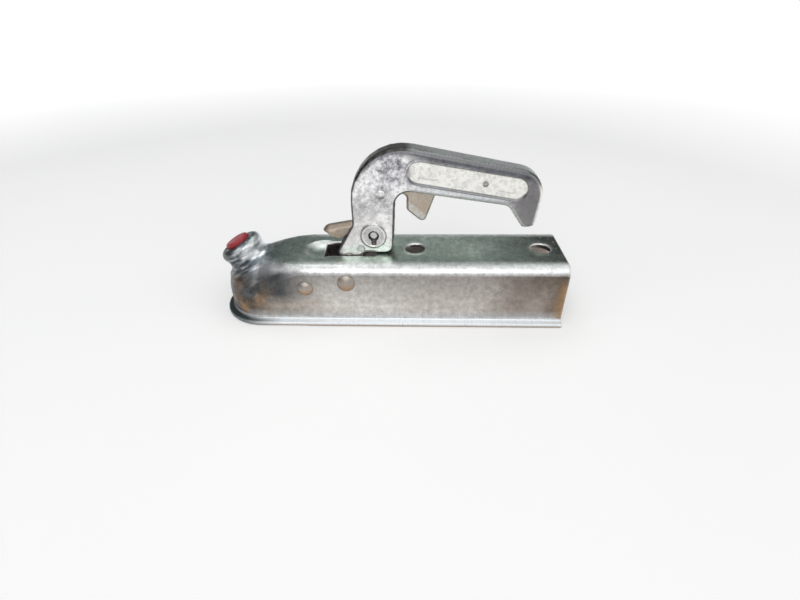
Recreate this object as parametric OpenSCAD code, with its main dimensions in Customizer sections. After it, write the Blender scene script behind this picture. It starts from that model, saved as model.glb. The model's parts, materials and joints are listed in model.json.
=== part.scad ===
// Pressed steel trailer coupling head for a ball hitch, with a lever handle, a catch and a hinged jaw.
// The origin is the centre of the ball socket, +X runs back along the drawbar and +Z is up.

/* [Coupling body] */
// Diameter of the towing ball
ball_d = 50; // [48:0.5:52]
// Room between ball and socket
ball_gap = 0.5; // [0.3:0.1:1]
// Thickness of the pressed sheet
sheet_t = 3.5; // [3:0.1:4]
// Width inside the channel
channel_w = 51; // [50:0.5:56]
// Height of the outside of the channel above the ball centre
channel_top = 29; // [28.5:0.5:34]
// Depth of the flange below the ball centre
flange_drop = 17; // [16:0.5:20]
// Length from the ball centre to the open rear end
body_l = 217; // [210:1:260]
// Length of the shoulder between socket and channel
shoulder_l = 32; // [30:1:34]
// Outside radius of the bends along the top
bend_r = 7; // [5:0.5:9]
// Reach of the flange beyond the side walls
flange_w = 5; // [4:0.5:8]
// Radius in the root of the flange
flange_root_r = 2; // [1:0.5:3]

/* [Nose stub] */
// Tilt of the stub towards the front, in degrees
stub_tilt = 27; // [23:1:33]
// Distance of the stub's end face from the ball centre
stub_h = 39; // [38:0.5:44]
// Radius of the stub's head
stub_r = 15.8; // [15.4:0.1:17.4]
// Radius of the stub's neck
neck_r = 14.6; // [13.6:0.1:15]
// Radius of the round edge of the stub's head
stub_edge_r = 4.8; // [3:0.1:5.2]
// Radius of the plug
plug_r = 8.8; // [7:0.1:9.5]
// Height of the plug above the stub
plug_out = 2.4; // [1.6:0.1:4]
// Depth of the plug's seat
plug_seat = 5; // [3:0.5:8]

/* [Drawbar holes] */
// Distance between the two holes
hole_step = 90; // [80:1:95]
// Distance from the rear end to the rear hole
hole_back = 15; // [14:0.5:24]
// Diameter of the holes
hole_d = 14; // [12:0.5:15]
// Width of the raised rim round each hole
rim_w = 2.2; // [1.5:0.1:3]
// Height of the raised rim
rim_h = 0.5; // [0.3:0.1:1]

/* [Handle slot] */
// Position of the slot's front end
slot_front = 46; // [44:0.5:47]
// Position of the slot's rear end
slot_rear = 84; // [82:1:90]
// Width of the slot
slot_w = 21; // [20.5:0.5:23]
// Depth of the dimple in front of the slot
dimple_d = 4; // [3:0.5:4.5]
// Radius of the ball that presses the dimple
dimple_ball_r = 24; // [22:1:28]
// Position of the dimple's centre
dimple_x = 44; // [43:0.5:46]

/* [Cross rivets] */
// Position of the jaw rivet behind the ball centre
jaw_rivet_x = 35; // [34:0.5:36]
// Height of the jaw rivet above the ball centre
jaw_rivet_z = 12.6; // [12:0.2:13.4]
// Position of the lever rivet behind the ball centre
lever_rivet_x = 64.3; // [64:0.1:66]
// Height of the lever rivet above the ball centre
lever_rivet_z = 17; // [16.4:0.2:17.2]
// Radius of the jaw rivet's shank
jaw_shank_r = 4; // [3.5:0.1:4.4]
// Radius of the lever rivet's shank
lever_shank_r = 4.5; // [4:0.1:4.6]
// Radius of the jaw rivet's heads
jaw_head_r = 5.8; // [5.2:0.1:7]
// Radius of the lever rivet's heads
lever_head_r = 6.6; // [5.8:0.1:8]
// Height of the rivet heads
rivet_head_h = 3.2; // [2:0.1:4]
// Clearance between a shaft and its bore, on the radius
fit = 0.05; // [0.02:0.01:0.08]
// Wall of the bearing tubes
tube_wall = 1.4; // [1:0.1:1.5]

/* [Handle] */
// Outside width of the handle
handle_w = 18; // [17.5:0.1:18.4]
// Sheet thickness of the handle
handle_t = 3; // [2.5:0.1:3.1]
// Radius of the edge between cheeks and back
handle_edge_r = 3; // [1.5:0.1:3.2]
// Front of the handle's leg
leg_front = 68.9; // [68:0.1:70]
// Rear of the handle's leg
leg_rear = 99.3; // [98:0.1:103]
// Height of the grip's top where it would meet the leg's front
grip_top = 110.4; // [108:0.2:118]
// Fall of the grip's top towards the rear, in degrees
grip_slope = 11.1; // [9:0.1:12]
// Height of the grip's underside at the leg
grip_under = 75.3; // [74:0.1:77]
// Fall of the grip's underside towards the rear, in degrees
grip_under_slope = 8.4; // [7:0.1:9]
// Rear of the grip
grip_rear = 197; // [190:1:215]
// Radius of the bend from leg to grip
grip_bend_r = 35; // [30:1:37]
// Length of the hooked end at its root
hook_l = 23.5; // [22:0.5:26]
// Height of the hooked end's lowest point above the ball centre
hook_z = 48.8; // [46:0.2:52]
// Gap between the leg and the top of the body
leg_gap = 0.3; // [0.3:0.1:0.6]
// Radius of the round ends of the handle's recess
recess_r = 7.8; // [6:0.1:8]
// Depth of the handle's recess
recess_d = 1.1; // [0.6:0.1:1.2]

/* [Catch] */
// Position of the catch rivet
catch_x = 89.2; // [88:0.1:90]
// Height of the catch rivet
catch_z = 73.2; // [72:0.1:75]
// Radius of the catch rivet
catch_rivet_r = 2.2; // [2:0.1:2.6]
// Sheet thickness of the catch
catch_t = 2; // [1.5:0.1:2.2]
// Room between the catch and the handle's cheeks
catch_gap = 0.6; // [0.4:0.1:1]
// Reach of the tongue's round end beyond the catch's sides
tongue_out = 1.2; // [0.6:0.1:1.4]

/* [Jaw] */
// Thickness of the jaw's sheet
jaw_t = 3; // [2.5:0.1:3.2]
// Room between ball and jaw
jaw_gap = 0.3; // [0.2:0.1:0.6]
// Half width of the jaw at its face
jaw_front_half = 18; // [16:0.5:19]
// Half width of the jaw at its hinge
jaw_rear_half = 23.4; // [22.5:0.1:23.8]
// Depth of the jaw's lip below the ball centre
jaw_drop = 14.5; // [13:0.5:15]
// Rear end of the jaw's side walls
jaw_rear = 52; // [50:0.5:53]

/* [Cam and springs] */
// Thickness of each cam plate
cam_t = 3; // [2.5:0.1:3.2]
// Radius of the cam's nose
cam_nose_r = 4; // [3.5:0.1:4.5]
// Distance of the cam's nose in front of the lever rivet
cam_reach = 17; // [16:0.1:18]
// Distance of the cam's nose below the lever rivet
cam_drop = 15; // [14:0.1:16]
// Thickness of the jaw's backing plate
backing_t = 3; // [2:0.1:4]
// Gap between the cam's nose and the backing plate
cam_gap = 0.3; // [0.3:0.1:0.6]
// Wire of the return spring
spring_wire_d = 1.6; // [1.4:0.1:1.6]
// Turns in each coil of the return spring
spring_turns = 4; // [3:1:4]

/* [Hidden] */
$fn = 72;

socket_r = ball_d / 2 + ball_gap;
dome_r = socket_r + sheet_t;
channel_half = channel_w / 2;
web_half = channel_half + sheet_t;
body_bottom = -flange_drop;
roof_z = channel_top - sheet_t;
over = 1;
seam = 0.3;
seam_inset = 0.02;
loft_fn = 60;
shoulder_steps = 3;

jaw_axis = [jaw_rivet_x, jaw_rivet_z];
lever_axis = [lever_rivet_x, lever_rivet_z];
catch_axis = [catch_x, catch_z];
rear_hole_x = body_l - hole_back;
front_hole_x = rear_hole_x - hole_step;

bush_r = lever_shank_r + fit + tube_wall;
cheek_inner = handle_w / 2 - handle_t;
hub_r = bush_r + 2.5;
washer_r = hub_r - 0.6;
cheek_bottom = channel_top + leg_gap;
catch_half = cheek_inner - catch_gap;
nose_x = lever_rivet_x - cam_reach;
nose_z = lever_rivet_z - cam_drop;
backing_rear = nose_x - cam_nose_r - cam_gap;
handle_pin_x = 83.2;
handle_pin_z = 43.5;
handle_pin_r = 3.2;
side_gap = 0.3;
wire_gap = 0.2;
roof_clear = 2.2;

// Points of an outline whose corners are [x, z, radius], with each corner rounded by an arc
function unit(v) = v / norm(v);
function corner_arc(a, b, c, steps) =
    let (u = unit([a[0] - b[0], a[1] - b[1]]), v = unit([c[0] - b[0], c[1] - b[1]]),
         half = acos(max(-1, min(1, u * v))) / 2, r = b[2],
         centre = [b[0], b[1]] + unit(u + v) * r / sin(half),
         p = [b[0], b[1]] + u * r / tan(half) - centre, q = [b[0], b[1]] + v * r / tan(half) - centre,
         a0 = atan2(p[1], p[0]), turn = atan2(p[0] * q[1] - p[1] * q[0], p * q))
    [for (i = [0 : steps]) centre + r * [cos(a0 + turn * i / steps), sin(a0 + turn * i / steps)]];
function with_radii(points, radii) = [for (i = [0 : len(points) - 1]) [points[i][0], points[i][1], radii[i]]];
function rounded(corners, steps = 6) =
    let (n = len(corners))
    [for (i = [0 : n - 1])
        let (b = corners[i])
        for (p = b[2] > 0 ? corner_arc(corners[(i + n - 1) % n], b, corners[(i + 1) % n], steps)
                          : [[b[0], b[1]]]) p];

// Rings of points carried along a path, for bent wire
function tangent(p, i) = unit(p[min(i + 1, len(p) - 1)] - p[max(i - 1, 0)]);
function square_to(n, t) = unit(n - (n * t) * t);
function ring_normals(p, n, i = 0, done = []) =
    i == len(p) ? done
                : let (m = square_to(n, tangent(p, i))) ring_normals(p, m, i + 1, concat(done, [m]));

module wire(path, r, first_normal, sides = 8) {
    normals = ring_normals(path, first_normal);
    count = len(path);
    points = [for (i = [0 : count - 1]) for (k = [0 : sides - 1])
        let (t = tangent(path, i), a = 360 * k / sides)
        path[i] + r * (cos(a) * normals[i] + sin(a) * cross(t, normals[i]))];
    faces = concat(
        [[for (k = [0 : sides - 1]) sides - 1 - k]],
        [for (i = [0 : count - 2]) for (k = [0 : sides - 1])
            [i * sides + k, i * sides + (k + 1) % sides, (i + 1) * sides + (k + 1) % sides,
             (i + 1) * sides + k]],
        [[for (k = [0 : sides - 1]) (count - 1) * sides + k]]);
    polyhedron(points, [for (f = faces) [for (i = [len(f) - 1 : -1 : 0]) f[i]]]);
}

// An outline in the XZ plane, given thickness from y_low to y_high
module plate(y_low, y_high) {
    translate([0, y_high, 0]) rotate([90, 0, 0]) linear_extrude(y_high - y_low) children();
}

// A cylinder across the body, on an axis given as [x, z]
module cross_cylinder(axis, r, y_low, y_high) {
    translate([axis[0], y_high, axis[1]]) rotate([90, 0, 0]) cylinder(r = r, h = y_high - y_low);
}

module cross_tube(axis, r_out, r_in, y_low, y_high) {
    difference() {
        cross_cylinder(axis, r_out, y_low, y_high);
        cross_cylinder(axis, r_in, y_low - over, y_high + over);
    }
}

// Plan outline of the body, grown by an amount, with a round front
module plan_outline(grow, length) {
    nose = dome_r + grow;
    side = web_half + grow;
    circle(r = nose);
    polygon([[0, nose], [shoulder_l, side], [length, side], [length, -side], [shoulder_l, -side], [0, -nose]]);
}

// One thin cross-section of the shoulder
module section_slice(x, half, top, corner, bottom) {
    translate([x, 0, 0]) rotate([90, 0, 90]) {
        for (side = [-1, 1])
            translate([side * (half - corner), top - corner]) linear_extrude(0.01) circle(corner, $fn = loft_fn);
        translate([-half, bottom]) linear_extrude(0.01) square([2 * half, top - corner - bottom]);
    }
}

function mix(a, b, share) = a + (b - a) * share;

// Solid space of the body: round nose, shoulder and channel, grown inwards or outwards
module body_form(grow, bottom, length) {
    nose = dome_r + grow;
    side = web_half + grow;
    top = channel_top + grow;
    corner = bend_r + grow;
    rotate([0, 0, 90]) rotate_extrude(angle = 180) {
        intersection() {
            circle(nose);
            square(nose);
        }
        translate([0, bottom]) square([nose, -bottom]);
    }
    intersection() {
        for (i = [1 : shoulder_steps]) hull() for (at = [i - 1, i]) {
            share = at / shoulder_steps;
            turn = 1 - pow(1 - share, 1.7);
            inset = at == 0 || at == shoulder_steps ? seam_inset : 0;
            section_slice(mix(-seam, shoulder_l + seam, share), mix(nose, side, share) - inset,
                          mix(nose, top, share) - inset, mix(nose - inset, corner, turn), bottom);
        }
        translate([-over, -2 * side, bottom]) cube([shoulder_l + 2 * over, 4 * side, 4 * side]);
    }
    translate([shoulder_l, 0, 0]) rotate([90, 0, 90]) linear_extrude(length - shoulder_l) {
        for (s = [-1, 1]) translate([s * (side - corner), top - corner]) circle(corner);
        translate([-side, bottom]) square([2 * side, top - corner - bottom]);
        translate([-(side - corner), bottom]) square([2 * (side - corner), top - bottom]);
    }
}

module flange() {
    translate([0, 0, body_bottom]) linear_extrude(sheet_t) plan_outline(flange_w, body_l);
}

// Fillet in the root of the flange, along the sides and round the nose
module root_profile(at) {
    difference() {
        translate([at - seam, 0]) square([flange_root_r + seam, flange_root_r]);
        translate([at + flange_root_r, flange_root_r]) circle(flange_root_r);
    }
}

module flange_root() {
    translate([0, 0, body_bottom + sheet_t]) {
        rotate([0, 0, 90]) rotate_extrude(angle = 180) root_profile(dome_r);
        for (s = [0, 1]) mirror([0, s, 0])
            rotate([90, 0, 90]) linear_extrude(body_l) root_profile(web_half);
    }
}

module stub() {
    neck_low = dome_r - 7;
    neck_high = dome_r + 4;
    flare_r = 5;
    rotate([0, -stub_tilt, 0]) rotate_extrude() {
        translate([0, neck_low]) square([neck_r, stub_h - neck_low - stub_edge_r]);
        translate([0, neck_high]) square([stub_r, stub_h - neck_high - stub_edge_r]);
        translate([0, neck_high]) square([stub_r - stub_edge_r, stub_h - neck_high]);
        translate([stub_r - stub_edge_r, stub_h - stub_edge_r]) circle(stub_edge_r);
        difference() {
            translate([0, neck_low]) square([neck_r + flare_r, flare_r + 1]);
            translate([neck_r + flare_r, neck_low + flare_r + 1]) circle(flare_r);
        }
    }
}

module body_shell() {
    color([0.72, 0.72, 0.7]) difference() {
        union() {
            difference() {
                union() {
                    body_form(0, body_bottom, body_l);
                    stub();
                    flange();
                    flange_root();
                    for (x = [front_hole_x, rear_hole_x])
                        translate([x, 0, roof_z]) cylinder(r = hole_d / 2 + rim_w, h = sheet_t + rim_h);
                }
                body_form(-sheet_t, body_bottom - over, body_l + over);
            }
            intersection() {
                translate([dimple_x, 0, channel_top + dimple_ball_r - dimple_d])
                    sphere(dimple_ball_r + sheet_t);
                translate([dimple_x, 0, roof_z - dimple_d - over])
                    cylinder(r = sqrt(pow(dimple_ball_r + sheet_t, 2) - pow(dimple_ball_r - dimple_d + sheet_t, 2)),
                             h = dimple_d + over + sheet_t / 2);
            }
        }
        translate([dimple_x, 0, channel_top + dimple_ball_r - dimple_d]) sphere(dimple_ball_r);
        translate([slot_front, -slot_w / 2, roof_z - dimple_d - 2 * over])
            cube([slot_rear - slot_front, slot_w, sheet_t + dimple_d + 3 * over]);
        for (x = [front_hole_x, rear_hole_x])
            translate([x, 0, roof_z - over]) cylinder(d = hole_d, h = sheet_t + 2 * over + rim_h);
        cross_cylinder(jaw_axis, jaw_shank_r + fit, -dome_r - over, dome_r + over);
        cross_cylinder(lever_axis, lever_shank_r + fit, -dome_r - over, dome_r + over);
        rotate([0, -stub_tilt, 0]) translate([0, 0, stub_h - plug_seat])
            cylinder(r = plug_r + fit, h = plug_seat + over);
    }
}

module nose_plug() {
    plug_edge = 1.4;
    color([0.75, 0.15, 0.18]) rotate([0, -stub_tilt, 0]) translate([0, 0, stub_h - plug_seat])
        rotate_extrude() {
            square([plug_r - plug_edge, plug_seat + plug_out]);
            square([plug_r, plug_seat + plug_out - plug_edge]);
            translate([plug_r - plug_edge, plug_seat + plug_out - plug_edge]) circle(plug_edge);
        }
}

// Rivet through both side walls, with a domed head on each
module cross_rivet(axis, shank_r, head_r) {
    cap_r = (head_r * head_r + rivet_head_h * rivet_head_h) / (2 * rivet_head_h);
    color([0.74, 0.7, 0.66]) {
        cross_cylinder(axis, shank_r, -web_half, web_half);
        for (s = [0, 1]) mirror([0, s, 0]) translate([axis[0], -web_half, axis[1]]) rotate([90, 0, 0])
            rotate_extrude() intersection() {
                translate([0, rivet_head_h - cap_r]) circle(cap_r);
                square([head_r, rivet_head_h]);
            }
    }
}

module jaw_rivet() { cross_rivet(jaw_axis, jaw_shank_r, jaw_head_r); }

module lever_rivet() { cross_rivet(lever_axis, lever_shank_r, lever_head_r); }

// Spacer bushes between the jaw's ears and the side walls
module jaw_bush(side) {
    color([0.8, 0.72, 0.42]) mirror([0, side > 0 ? 1 : 0, 0])
        cross_tube(jaw_axis, jaw_shank_r + 3, jaw_shank_r + fit, -(channel_half - fit),
                   -(jaw_rear_half + side_gap));
}

spring_pitch = spring_wire_d * 1.06;
coil_low = handle_w / 2 + 0.5 + spring_wire_d / 2;
coil_high = coil_low + spring_turns * spring_pitch;

module lever_spacer(side) {
    color([0.8, 0.72, 0.42]) mirror([0, side > 0 ? 1 : 0, 0])
        cross_tube(lever_axis, bush_r, lever_shank_r + fit, -(channel_half - fit),
                   -(coil_high + spring_wire_d / 2 + 0.3));
}

// Double torsion spring: two coils, a bail in front and two free legs behind
spring_coil_r = lever_shank_r + wire_gap + spring_wire_d / 2;
bail_x = backing_rear + 0.3 + spring_wire_d / 2;
bail_z = nose_z - cam_nose_r - spring_wire_d;
leg_x = lever_rivet_x + 27;
leg_z = roof_z - spring_wire_d / 2 - roof_clear;
coil_start = 215;
coil_end = coil_start - 360 * (spring_turns - 1) - 235;

function coil_point(a, y) = [lever_rivet_x + spring_coil_r * cos(a), y, lever_rivet_z + spring_coil_r * sin(a)];
function half_spring(side) =
    let (steps = 14 * spring_turns)
    concat(
        [[bail_x, 0, bail_z], [bail_x, side * (coil_low - 2), bail_z], [bail_x + 0.6, side * coil_low, bail_z + 1.6]],
        [for (i = [0 : steps])
            coil_point(mix(coil_start, coil_end, i / steps), side * mix(coil_low, coil_high, i / steps))],
        [[leg_x, side * coil_high, leg_z]]);

module return_spring() {
    color([0.35, 0.34, 0.33]) for (side = [-1, 1])
        wire(half_spring(side), spring_wire_d / 2, [0, 0, 1]);
}

// Side outline of the handle: leg, bend, grip and hooked tip
tip_x = grip_rear - 3.8;
tip_w = 9;
tip_r = [4.6, 3.6];
knee_z = 51.5;
leg_toe = lever_rivet_x - hub_r + 0.6;
toe_l = 20;
hook_x = grip_rear - hook_l;
rear_r = 17;
rear_top = [grip_rear, grip_top - (grip_rear - leg_front) * tan(grip_slope), rear_r];
bend_top = [leg_front, grip_top, grip_bend_r];
function under_z(x) = grip_under - (x - leg_rear) * tan(grip_under_slope);

module handle_outline() {
    polygon(rounded([[leg_toe, lever_rivet_z, 0], [leg_toe, cheek_bottom + 1.5, 5], [leg_front - 0.4, knee_z, 5],
        bend_top, rear_top, [tip_x, hook_z, tip_r[0]], [tip_x - tip_w, hook_z, tip_r[1]],
        [hook_x, under_z(hook_x), 7], [leg_rear, under_z(leg_rear), 9], [leg_rear - 2.5, cheek_bottom, 6],
        [leg_toe + toe_l, cheek_bottom, 2], [lever_rivet_x + hub_r - 0.2, lever_rivet_z, 0]], 8));
    translate(lever_axis) circle(hub_r);
}

// The whole width of a folded piece, with round edges made of thin steps
module soft_plate(half, edge_r, steps = 3) {
    for (i = [0 : steps]) {
        a = 90 * i / steps;
        plate(-half + edge_r * (1 - sin(a)), half - edge_r * (1 - sin(a)))
            offset(delta = -edge_r * (1 - cos(a))) children();
    }
}

// Space between the cheeks, behind the back of the U-section
module handle_hollow() {
    back_z = knee_z + 3.5;
    offset(delta = -handle_t)
        polygon(rounded([[leg_front, back_z - 30, 0], bend_top, rear_top, [tip_x, hook_z, 0],
            [tip_x - 0.4, hook_z - 30, 0]], 8));
    translate([leg_toe - 10, -over]) square([grip_rear - leg_toe - handle_t, back_z + over]);
}

module keyhole(r, drop, half) {
    circle(r, $fn = 32);
    translate([-half, -drop]) square([2 * half, drop]);
}

// A point of the grip, midway between its top and its underside
function grip_middle(x) = [x, (under_z(x) + grip_top - (x - leg_front) * tan(grip_slope)) / 2];

// A stadium sunk into the near side of the grip, between two points of its middle line
module grip_pocket(x_low, x_high, r, deep) {
    hull() for (x = [x_low, x_high])
        cross_cylinder(grip_middle(x), r, -handle_w / 2 - over, -handle_w / 2 + deep, $fn = 32);
}

module handle_shell() {
    recess_front = leg_rear + 15;
    recess_rear = grip_rear - 19.5;
    field_l = 8;
    field_r = 3.4;
    field_d = 0.3;
    drain_r = 1.6;
    drain_x = grip_rear - 39.5;
    mark_r = 1.5;
    mark_d = 0.7;
    boss_r = 9;
    boss_h = 0.5;
    key_r = 3.6;
    key_drop = 7;
    key_half = 1.7;
    color([0.8, 0.8, 0.78]) difference() {
        union() {
            soft_plate(handle_w / 2, handle_edge_r) handle_outline();
            for (s = [0, 1]) mirror([0, s, 0])
                cross_cylinder([handle_pin_x, handle_pin_z], boss_r, -handle_w / 2 - boss_h, -cheek_inner);
        }
        plate(-cheek_inner, cheek_inner) handle_hollow();
        for (s = [0, 1]) mirror([0, s, 0]) {
            grip_pocket(recess_front, recess_rear, recess_r, recess_d);
            for (x = [recess_front + 2, recess_rear - 10]) grip_pocket(x, x + field_l, field_r, recess_d + field_d);
            plate(-handle_w / 2 - boss_h - over, -handle_w / 2 + handle_t / 2)
                translate([handle_pin_x, handle_pin_z]) keyhole(key_r, key_drop, key_half);
            cross_cylinder([catch_x, catch_z + 17], mark_r, -handle_w / 2 - over, -handle_w / 2 + mark_d);
        }
        cross_cylinder(grip_middle(drain_x), drain_r, -handle_w, handle_w);
        cross_cylinder([handle_pin_x, handle_pin_z], handle_pin_r + fit, -handle_w, handle_w);
        cross_cylinder(lever_axis, bush_r + fit, -handle_w, handle_w);
        cross_cylinder(catch_axis, catch_rivet_r + fit, -handle_w, handle_w);
        for (at = [cam_rivet_a, cam_rivet_b]) cross_cylinder(at, cam_rivet_r + fit, -handle_w, handle_w);
    }
}

module handle_bush() {
    color([0.8, 0.72, 0.42])
        cross_tube(lever_axis, bush_r, lever_shank_r + fit, -handle_w / 2, handle_w / 2);
}

cam_rivet_r = 2.3;
cam_rivet_a = [lever_rivet_x + 9.5, lever_rivet_z + 16.5];
cam_rivet_b = [lever_rivet_x + 0.5, lever_rivet_z + hub_r + cam_rivet_r - 0.2];

module cam_plate(side) {
    y_low = side < 0 ? -cam_t : 0;
    color([0.6, 0.6, 0.62]) difference() {
        plate(y_low, y_low + cam_t) {
            hull() {
                translate(lever_axis) circle(hub_r - 0.3);
                translate([nose_x, nose_z]) circle(cam_nose_r);
            }
            hull() {
                translate(lever_axis) circle(hub_r - 0.3);
                translate(cam_rivet_b) circle(cam_rivet_r + 1.6, $fn = 32);
                translate(cam_rivet_a) circle(cam_rivet_r + 2.2, $fn = 32);
            }
        }
        cross_cylinder(lever_axis, bush_r + fit, -handle_w, handle_w);
        for (at = [cam_rivet_a, cam_rivet_b]) cross_cylinder(at, cam_rivet_r + fit, -handle_w, handle_w);
    }
}

module cam_washer(side) {
    color([0.7, 0.7, 0.72]) mirror([0, side > 0 ? 1 : 0, 0])
        cross_tube(lever_axis, washer_r, bush_r + fit, -cheek_inner, -cam_t);
}

module cam_rivet(at) {
    color([0.7, 0.7, 0.72]) cross_cylinder(at, cam_rivet_r, -handle_w / 2, handle_w / 2);
}

module handle_pin() {
    color([0.7, 0.7, 0.72])
        cross_cylinder([handle_pin_x, handle_pin_z], handle_pin_r, -handle_w / 2 + 1, handle_w / 2 - 1);
}

module catch_rivet() {
    head_r = catch_rivet_r + 1.1;
    head_h = 1.2;
    color([0.74, 0.72, 0.7]) {
        cross_cylinder(catch_axis, catch_rivet_r, -handle_w / 2, handle_w / 2);
        for (s = [0, 1]) mirror([0, s, 0]) translate([catch_x, -handle_w / 2, catch_z]) rotate([90, 0, 0])
            rotate_extrude() intersection() {
                cap_r = (head_r * head_r + head_h * head_h) / (2 * head_h);
                translate([0, head_h - cap_r]) circle(cap_r, $fn = 48);
                square([head_r, head_h]);
            }
    }
}

catch_bush_r = catch_rivet_r + fit + 1;

module catch_bush() {
    color([0.8, 0.72, 0.42])
        cross_tube(catch_axis, catch_bush_r, catch_rivet_r + fit, -catch_half, catch_half);
}

// Side outline of the catch: arm down the leg, hub and trigger, measured from the catch rivet
arm_low = [leg_front - catch_x - 4.4, knee_z - catch_z - 3];
trigger_x = leg_rear - catch_x + 6.7;

module catch_outline() {
    translate(catch_axis) polygon(rounded(with_radii([arm_low, arm_low + [5.5, 2], [-5.2, -3.2], [-5.2, 7.8], [14.8, 10.8],
        [trigger_x + 19.4, 6.8], [trigger_x + 19.4, -2.2], [trigger_x + 15.4, -13.6], [trigger_x + 12.8, -20.6],
        [trigger_x + 9, -19.8], [trigger_x, -12.2], [trigger_x + 0.4, -0.2], [8.3, -3.2],
        arm_low + [9.5, -2.3], arm_low + [0, -2.5]], catch_corners), 6));
}

catch_corners = [0, 3, 6, 6, 4, 3, 2, 14, 2.6, 2, 4, 3, 4, 4, 0];

module catch_lever() {
    catch_edge_r = 1.2;
    color([0.72, 0.67, 0.6]) difference() {
        union() {
            difference() {
                soft_plate(catch_half, catch_edge_r, 1) catch_outline();
                plate(-catch_half + catch_t, catch_half - catch_t) {
                    offset(delta = -catch_t) catch_outline();
                    translate(catch_axis - [14, 4]) square([trigger_x + 23, 14]);
                    translate(catch_axis + arm_low + [-5, -10]) square(-arm_low + [12, 5]);
                }
            }
            tongue();
        }
        cross_cylinder(catch_axis, catch_bush_r + fit, -handle_w, handle_w);
    }
}

// Tongue in front of the leg: a spoon of folded sheet with a round end and sides turned down
tongue_tilt = 10;
tongue_l = 17;
tongue_r = catch_half + tongue_out;
tongue_x = leg_front - 16.3;
tongue_z = knee_z - 9.6;
neck_inset = 0.1;

module spoon(r) {
    translate([tongue_x, 0, tongue_z]) rotate([0, 90 - tongue_tilt, 0]) rotate_extrude() {
        intersection() {
            circle(r);
            translate([0, -r]) square(r);
        }
        square([r, tongue_l]);
    }
}

module tongue() {
    intersection() {
        difference() {
            spoon(tongue_r);
            spoon(catch_half - catch_t + tongue_out / 2);
        }
        plate(-tongue_r, tongue_r) translate([tongue_x, tongue_z])
            polygon(rounded(with_radii([[-tongue_r - 1, 2.4], [-tongue_r - 1, tongue_r + 3], [tongue_l + 1, tongue_r + 6],
                [tongue_l + 1, 4.4], [9.2, -1.2], [5, -3], [-3, 2.4]], [0, 0, 0, 0, 3, 3, 3]), 6));
        translate([tongue_x, 0, 0]) linear_extrude(grip_top) {
            circle(tongue_r);
            translate([0, neck_inset - catch_half]) square([2 * tongue_l, 2 * (catch_half - neck_inset)]);
        }
    }
}

module catch_spring() {
    wire_r = 0.5;
    r = catch_bush_r + wire_r + 0.4;
    turns = 3;
    steps = 12 * turns;
    half = min(turns * wire_r * 1.1, catch_half - catch_t - wire_r - wire_gap);
    color([0.35, 0.34, 0.33])
        wire(concat([[catch_x + 15, -half, catch_z + 6.4]],
                    [for (i = [0 : steps]) let (a = 70 - 360 * turns * i / steps)
                        [catch_x + r * cos(a), mix(-half, half, i / steps), catch_z + r * sin(a)]],
                    [[catch_x - 9, half, catch_z + 8.6]]), wire_r, [0, 1, 0]);
}

// Side outline of the jaw's ears and walls
module jaw_side() {
    polygon(rounded([[23.5, 3.5, 1], [jaw_rivet_x - 8, jaw_rivet_z, 3], [jaw_rivet_x - 6, jaw_rivet_z + 7.6, 5],
        [jaw_rivet_x + 6, jaw_rivet_z + 7.6, 5], [jaw_rear - 6, 4, 6], [jaw_rear, 0, 3], [jaw_rear + 2, -jaw_drop, 3],
        [20, -jaw_drop, 1]], 6));
}

// Plan outline of the jaw, narrow at its face and wide at its hinge
module jaw_plan(inset) {
    polygon([[14, -(jaw_front_half - inset)], [27, -(jaw_front_half - inset)],
        [jaw_rivet_x - 2, -(jaw_rear_half - inset)], [80, -(jaw_rear_half - inset)],
        [80, jaw_rear_half - inset], [jaw_rivet_x - 2, jaw_rear_half - inset],
        [27, jaw_front_half - inset], [14, jaw_front_half - inset]]);
}

module jaw_block(inset) {
    translate([0, 0, -jaw_drop - 20]) linear_extrude(60) jaw_plan(inset);
}

module jaw_shell() {
    face_r = ball_d / 2 + jaw_gap;
    notch_half = 7;
    color([0.78, 0.76, 0.72]) difference() {
        intersection() {
            jaw_block(0);
            plate(-40, 40) jaw_side();
        }
        sphere(face_r);
        difference() {
            intersection() {
                jaw_block(jaw_t);
                translate([0, -40, -jaw_drop + jaw_t]) cube([100, 80, 60]);
            }
            sphere(face_r + jaw_t);
        }
        translate([jaw_rear - 8, -notch_half, -jaw_drop - over]) cube([20, 2 * notch_half, jaw_t + 2 * over]);
        translate([31, -8, -jaw_drop - over]) cube([7, 16, jaw_t + 2 * over]);
        cross_cylinder(jaw_axis, jaw_shank_r + fit + tube_wall + fit, -40, 40);
    }
}

module jaw_backing_plate() {
    plate_half = 10;
    color([0.66, 0.65, 0.63])
        translate([backing_rear - backing_t, -plate_half, -jaw_drop + jaw_t])
            cube([backing_t, 2 * plate_half, 16]);
}

module jaw_sleeve() {
    color([0.8, 0.72, 0.42])
        cross_tube(jaw_axis, jaw_shank_r + fit + tube_wall, jaw_shank_r + fit, -jaw_rear_half, jaw_rear_half);
}

body_shell();
nose_plug();
jaw_rivet();
lever_rivet();
jaw_bush(1);  // jaw_bush_left
jaw_bush(-1);  // jaw_bush_right
lever_spacer(1);  // lever_spacer_left
lever_spacer(-1);  // lever_spacer_right
return_spring();
handle_shell();
handle_bush();
cam_plate(1);  // cam_plate_left
cam_plate(-1);  // cam_plate_right
cam_washer(1);  // cam_washer_left
cam_washer(-1);  // cam_washer_right
cam_rivet(cam_rivet_a);  // cam_rivet_upper
cam_rivet(cam_rivet_b);  // cam_rivet_lower
handle_pin();
catch_rivet();
catch_lever();
catch_bush();
catch_spring();
jaw_shell();
jaw_backing_plate();
jaw_sleeve();
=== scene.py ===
"""The looks of a pressed steel trailer coupling head: rolled sheet edges, zinc plating, a red plug, studio light."""

import json
import math
from types import SimpleNamespace

import bmesh
import bpy
from mathutils import Matrix, Vector


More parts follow.
